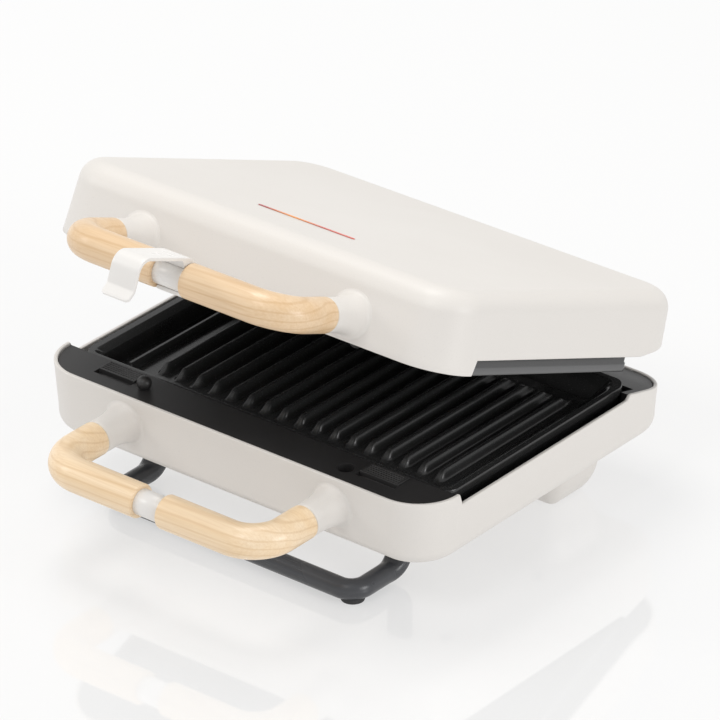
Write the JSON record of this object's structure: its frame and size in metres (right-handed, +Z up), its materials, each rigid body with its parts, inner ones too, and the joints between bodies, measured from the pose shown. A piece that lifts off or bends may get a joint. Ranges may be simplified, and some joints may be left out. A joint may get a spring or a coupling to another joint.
{
  "type": "sandwich toaster",
  "caption": "Low countertop contact grill with a hinged lid, ridged removable plates, bent wooden handles, a turning latch clip, a bar stand and a rear plinth.",
  "frame": {"origin": "middle of the whole toaster in plan with its lid at the rest angle, on the floor plane", "axes": "+Z up, front with the handles faces -Y, +X to the right seen from the front"},
  "size_m": [0.3, 0.349, 0.2327],
  "materials": {
    "shell": "satin cream plastic with a very fine texture",
    "frame_black": "fine textured black heat-proof plastic",
    "plate_coating": "cast aluminium with a black satin non-stick coating",
    "reflector_metal": "bright rolled sheet",
    "heater_steel": "drawn steel tube, slightly heat tinted",
    "ceramic": "matt white ceramic",
    "hinge_steel": "zinc plated steel",
    "stand_graphite": "graphite paint with a soft sheen",
    "rubber_pad": "matt rubber",
    "maple": "lacquered pale maple, grain along the bar",
    "white_gloss": "smooth white plastic",
    "screw_steel": "zinc plated steel",
    "accent": "thin inlay shading from red to orange"
  },
  "bodies": {
    "base": {"base_shell": "shell", "base_frame": "frame_black", "base_reflector": "reflector_metal", "base_heater": "heater_steel", "base_cradles": "ceramic", "base_post": "frame_black", "hinge_brackets": "frame_black", "hinge_pins": "hinge_steel", "thermostat": "heater_steel", "terminal_block": "ceramic", "cord_gland": "frame_black", "front_stand": "stand_graphite", "stand_pads": "rubber_pad", "rear_plinth": "shell", "plinth_pads": "rubber_pad", "lower_bosses": "shell", "lower_grip_left": "maple", "lower_grip_right": "maple", "lower_sleeve": "white_gloss", "base_screws": "screw_steel", "lower_handle_screws": "screw_steel"},
    "lid": {"lid_shell": "shell", "lid_frame": "frame_black", "lid_reflector": "reflector_metal", "lid_heater": "heater_steel", "lid_cradles": "ceramic", "lid_post": "frame_black", "lid_hinge_arms": "hinge_steel", "thermal_fuse": "ceramic", "accent_stripe": "accent", "upper_bosses": "shell", "upper_grip_left": "maple", "upper_grip_right": "maple", "upper_sleeve": "white_gloss", "lid_screws": "screw_steel", "upper_handle_screws": "screw_steel"},
    "base_button_left": {"base_release_left": "frame_black"},
    "base_button_right": {"base_release_right": "frame_black"},
    "lid_button_left": {"lid_release_left": "frame_black"},
    "lid_button_right": {"lid_release_right": "frame_black"},
    "lower_plate": {"lower_plate": "plate_coating"},
    "upper_plate": {"upper_plate": "plate_coating"},
    "latch": {"latch_clip": "white_gloss"}
  },
  "joints": [
    {"name": "lid_hinge", "type": "hinge", "parent": "base", "child": "lid", "pos_m": [0, 0.14564, 0.0945], "axis": [-1, 0, 0], "range_deg": [-21.8, 78.2]},
    {"name": "latch_turn", "type": "hinge", "parent": "lid", "child": "latch", "pos_m": [0, -0.12135, 0.20517], "axis": [-1, 0, 0], "range_deg": [-90, 60]},
    {"name": "lower_plate_tip", "type": "hinge", "parent": "base", "child": "lower_plate", "pos_m": [0, 0.13374, 0.064], "axis": [-1, 0, 0], "range_deg": [0, 10]},
    {"name": "upper_plate_tip", "type": "hinge", "parent": "lid", "child": "upper_plate", "pos_m": [0, 0.13418, 0.0979], "axis": [1, 0, 0], "range_deg": [0, 10]},
    {"name": "base_left_release", "type": "slide", "parent": "base", "child": "base_button_left", "axis": [0, -1, 0], "range_m": [0, 0.004], "stiffness_N_per_m": 600},
    {"name": "base_right_release", "type": "slide", "parent": "base", "child": "base_button_right", "axis": [0, -1, 0], "range_m": [0, 0.004], "stiffness_N_per_m": 600},
    {"name": "lid_left_release", "type": "slide", "parent": "lid", "child": "lid_button_left", "axis": [0, -0.9285, 0.3714], "range_m": [0, 0.004], "stiffness_N_per_m": 600},
    {"name": "lid_right_release", "type": "slide", "parent": "lid", "child": "lid_button_right", "axis": [0, -0.9285, 0.3714], "range_m": [0, 0.004], "stiffness_N_per_m": 600}
  ]
}
